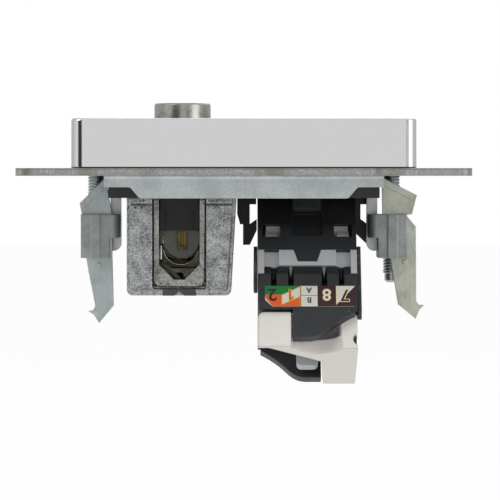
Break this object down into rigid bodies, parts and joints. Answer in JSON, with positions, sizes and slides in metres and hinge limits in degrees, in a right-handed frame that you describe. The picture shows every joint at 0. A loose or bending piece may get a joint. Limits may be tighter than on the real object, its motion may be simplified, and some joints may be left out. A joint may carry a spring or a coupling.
{
  "type": "flush wall socket insert with TV and data outlets",
  "caption": "Flush wall socket insert with a chrome cover, a TV connector, a leaning RJ45 outlet and two spreading claws on a steel support plate.",
  "frame": {"origin": "centre of the support plate's back face, on the wall plane", "axes": "+Z out of the wall into the room, +X to the right with the TV outlet on the left, -Y up the wall, on the side that the picture looks at"},
  "size_m": [0.0714, 0.0714, 0.0466],
  "materials": {
    "galvanised_steel": "zinc-coated steel sheet with sheared edges",
    "cover_chrome": "chrome-plated plastic, polished",
    "black_plastic": "moulded, slightly satin",
    "zinc_casting": "die-cast zinc alloy, mottled, bare",
    "claw_zinc_yellow": "steel sheet, yellowish zinc",
    "claw_zinc_blue": "steel sheet, bluish zinc",
    "block_zinc": "cast zinc, dull",
    "screw_steel": "bright zinc-coated screw",
    "nickel": "turned brass, nickel-plated",
    "brass": "bare brass",
    "insulator": "translucent grey-white plastic",
    "dark_slide": "dark moulded plastic",
    "board_green": "glass-fibre circuit board",
    "holder_plastic": "near-black plastic",
    "body_grey": "light grey plastic",
    "gold": "gold-plated spring contacts",
    "cap_grey": "dark grey plastic, satin",
    "lock_white": "off-white plastic",
    "shield_metal": "dark metallised plastic",
    "label": "printed colour-code label"
  },
  "bodies": {
    "socket": {"support_plate": "galvanised_steel", "chrome_cover": "cover_chrome", "carrier": "black_plastic", "tv_housing": "zinc_casting", "tv_rear_lid": "zinc_casting", "tv_barrel": "nickel", "tv_port_insulator": "insulator", "tv_centre_pin": "brass", "tv_core_clamp": "brass", "tv_cable_insulator": "insulator", "tv_slide": "dark_slide", "tv_flap_pin": "screw_steel", "tv_latch_clip": "dark_slide", "tv_braid_clamp": "screw_steel", "tv_braid_screw": "screw_steel", "tv_board": "board_green", "housing_screws": "screw_steel", "rj45_holder": "holder_plastic", "rj45_body": "body_grey", "rj45_contacts": "gold", "rj45_board": "board_green", "idc_contacts": "screw_steel", "wire_cap": "cap_grey", "wire_organiser": "body_grey", "shield_left": "shield_metal", "shield_right": "shield_metal", "label_front": "label", "label_rear": "label"},
    "right_screw": {"claw_screw_right": "screw_steel"},
    "left_screw": {"claw_screw_left": "screw_steel"},
    "right_block": {"claw_block_right": "block_zinc"},
    "left_block": {"claw_block_left": "block_zinc"},
    "right_claw": {"claw_right": "claw_zinc_yellow"},
    "left_claw": {"claw_left": "claw_zinc_blue"},
    "flap": {"tv_cable_flap": "zinc_casting"},
    "lock": {"cable_lock": "lock_white"}
  },
  "joints": [
    {"name": "right_screw_turn", "type": "hinge", "parent": "socket", "child": "right_screw", "pos_m": [0.0249, 0, 0], "axis": [0, 0, -1], "range_deg": [0, 2880]},
    {"name": "right_block_slide", "type": "slide", "parent": "socket", "child": "right_block", "axis": [0, 0, 1], "range_m": [0, 0.004]},
    {"name": "left_screw_turn", "type": "hinge", "parent": "socket", "child": "left_screw", "pos_m": [-0.0249, 0, 0], "axis": [0, 0, -1], "range_deg": [0, 2880]},
    {"name": "left_block_slide", "type": "slide", "parent": "socket", "child": "left_block", "axis": [0, 0, 1], "range_m": [0, 0.004]},
    {"name": "right_claw_spread", "type": "hinge", "parent": "socket", "child": "right_claw", "pos_m": [0.0229, 0, -0.0008], "axis": [0, -1, 0], "range_deg": [0, 20]},
    {"name": "left_claw_spread", "type": "hinge", "parent": "socket", "child": "left_claw", "pos_m": [-0.0229, 0, -0.0008], "axis": [0, 1, 0], "range_deg": [0, 31]},
    {"name": "cable_flap_turn", "type": "hinge", "parent": "socket", "child": "flap", "pos_m": [-0.0107, -0.00825, -0.01785], "axis": [1, 0, 0], "range_deg": [0, 85]},
    {"name": "cable_lock_slide", "type": "slide", "parent": "socket", "child": "lock", "axis": [0, -0.4695, -0.8829], "range_m": [0, 0.006]}
  ],
  "couplings": [
    {"joint": "right_screw_turn", "follows": "right_block_slide", "rad_per_m": 12566},
    {"joint": "right_claw_spread", "follows": "right_block_slide", "rad_per_m": 87.266},
    {"joint": "left_screw_turn", "follows": "left_block_slide", "rad_per_m": 12566},
    {"joint": "left_claw_spread", "follows": "left_block_slide", "rad_per_m": 135.26}
  ]
}
